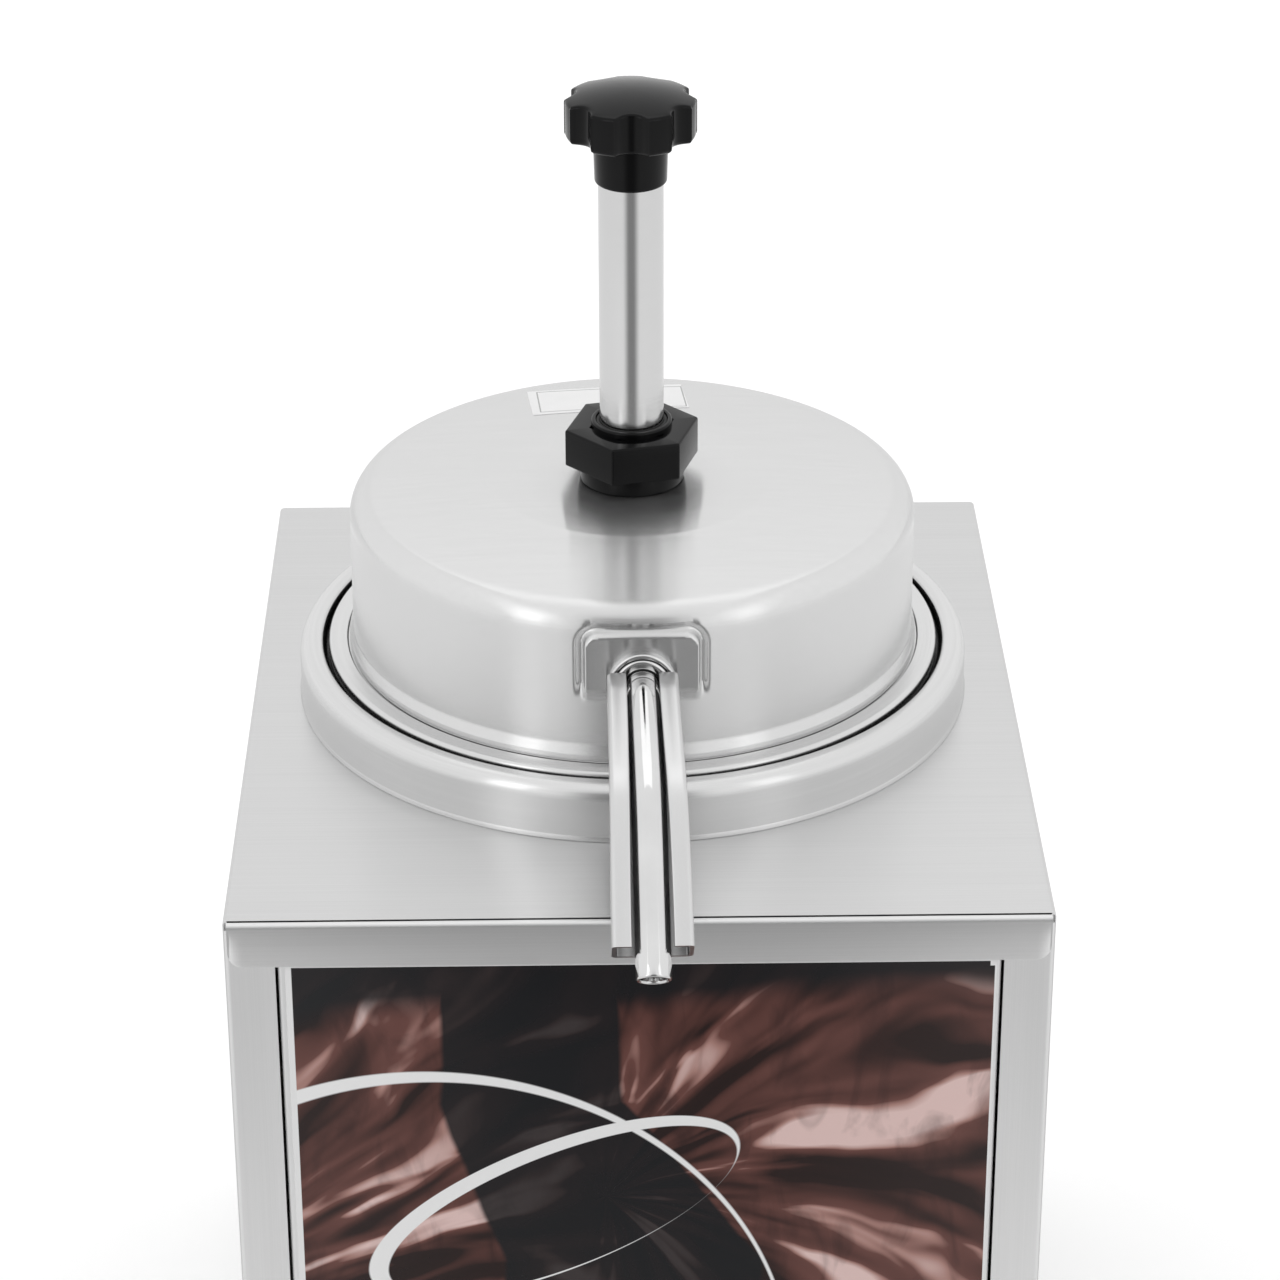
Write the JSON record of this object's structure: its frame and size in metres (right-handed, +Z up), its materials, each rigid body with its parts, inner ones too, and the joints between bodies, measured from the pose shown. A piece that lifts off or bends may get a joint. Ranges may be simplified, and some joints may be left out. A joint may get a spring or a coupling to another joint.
{
  "type": "heated pump dispenser",
  "caption": "Countertop heated dispenser for cheese or chocolate sauce: steel water-bath housing, lift-out pot, and a lid with a hand pump, star knob and guarded spout.",
  "frame": {"origin": "centre of the housing footprint on the table", "axes": "+Z up, the front panel and the spout face -Y, the controls are on the +X side wall"},
  "size_m": [0.2508, 0.3025, 0.452],
  "materials": {
    "housing_steel": "brushed",
    "pan_steel": "satin spun",
    "lid_steel": "brushed",
    "polished_steel": "polished",
    "pump_steel": "satin",
    "screw_steel": "bright",
    "spring_steel": "drawn",
    "black_plastic": "gloss",
    "control_black": "satin",
    "white_plastic": "satin",
    "seal_rubber": "matt",
    "foot_rubber": "matt",
    "printed_film": "gloss print",
    "label_film": "satin",
    "dial_face": "satin",
    "lamp_lens": "translucent gloss",
    "heater_alloy": "cast",
    "heater_sheath": "dull",
    "insulation": "fibre",
    "lead_cover": "matt",
    "pin_brass": "bright"
  },
  "bodies": {
    "housing": {"casing": "housing_steel", "front_panel": "housing_steel", "front_graphic": "printed_film", "back_panel": "housing_steel", "base_tray": "housing_steel", "feet": "foot_rubber", "foot_screws": "screw_steel", "panel_screws": "screw_steel", "well_pan": "pan_steel", "well_gasket": "seal_rubber", "insulation_wrap": "insulation", "heater_plate": "heater_alloy", "heater_element": "heater_sheath", "heater_bars": "pump_steel", "heater_screws": "screw_steel", "thermal_cutout": "control_black", "sensor_bulb": "pump_steel", "thermostat_body": "control_black", "dial_plate": "dial_face", "indicator_lamp": "lamp_lens", "rocker_housing": "control_black", "power_socket": "control_black", "socket_pins": "pin_brass", "socket_screws": "screw_steel", "terminal_block": "white_plastic", "internal_leads": "lead_cover"},
    "pot": {"food_pot": "pan_steel"},
    "lid": {"lid_shell": "lid_steel", "lid_label": "label_film", "pump_head": "black_plastic", "neck_wiper": "seal_rubber", "nut_washer": "black_plastic", "hex_nut": "black_plastic", "pump_cylinder": "pump_steel", "foot_valve": "pump_steel", "ball_retainer": "white_plastic", "discharge_tube": "polished_steel", "spout_tube": "polished_steel", "spout_guard": "pump_steel", "spout_nut": "polished_steel", "spout_sleeve": "polished_steel", "spout_seals": "seal_rubber", "spout_backnut": "pump_steel", "return_spring": "spring_steel"},
    "spring_seat": {"spring_washer": "pump_steel"},
    "plunger": {"plunger_tube": "pump_steel", "star_knob": "black_plastic", "knob_stud": "pump_steel", "piston": "white_plastic", "piston_seal": "seal_rubber"},
    "inlet_ball": {"inlet_ball": "polished_steel"},
    "outlet_ball": {"outlet_ball": "polished_steel"},
    "dial_knob": {"thermostat_knob": "control_black", "thermostat_shaft": "pump_steel", "knob_pointer": "white_plastic"},
    "rocker_paddle": {"rocker": "control_black"}
  },
  "joints": [
    {"name": "pot_lift", "type": "slide", "parent": "housing", "child": "pot", "axis": [0, 0, 1], "range_m": [0, 0.22]},
    {"name": "lid_lift", "type": "slide", "parent": "pot", "child": "lid", "axis": [0, 0, 1], "range_m": [0, 0.26]},
    {"name": "plunger_press", "type": "slide", "parent": "lid", "child": "spring_seat", "axis": [0, 0, -1], "range_m": [0, 0.065], "stiffness_N_per_m": 300, "springref_m": -0.03, "deforming": ["return_spring"]},
    {"name": "plunger_spin", "type": "hinge", "parent": "spring_seat", "child": "plunger", "pos_m": [0, 0.0105, 0.362], "axis": [0, 0, 1], "continuous": true},
    {"name": "inlet_ball_lift", "type": "slide", "parent": "lid", "child": "inlet_ball", "axis": [0, 0, 1], "range_m": [0, 0.003]},
    {"name": "outlet_ball_lift", "type": "slide", "parent": "lid", "child": "outlet_ball", "axis": [0, 0, 1], "range_m": [0, 0.003]},
    {"name": "thermostat_turn", "type": "hinge", "parent": "housing", "child": "dial_knob", "pos_m": [0.118, 0.052, 0.062], "axis": [-1, 0, 0], "range_deg": [0, 270]},
    {"name": "rocker_tilt", "type": "hinge", "parent": "housing", "child": "rocker_paddle", "pos_m": [0.114, -0.022, 0.062], "axis": [0, 1, 0], "range_deg": [0, 15]}
  ]
}
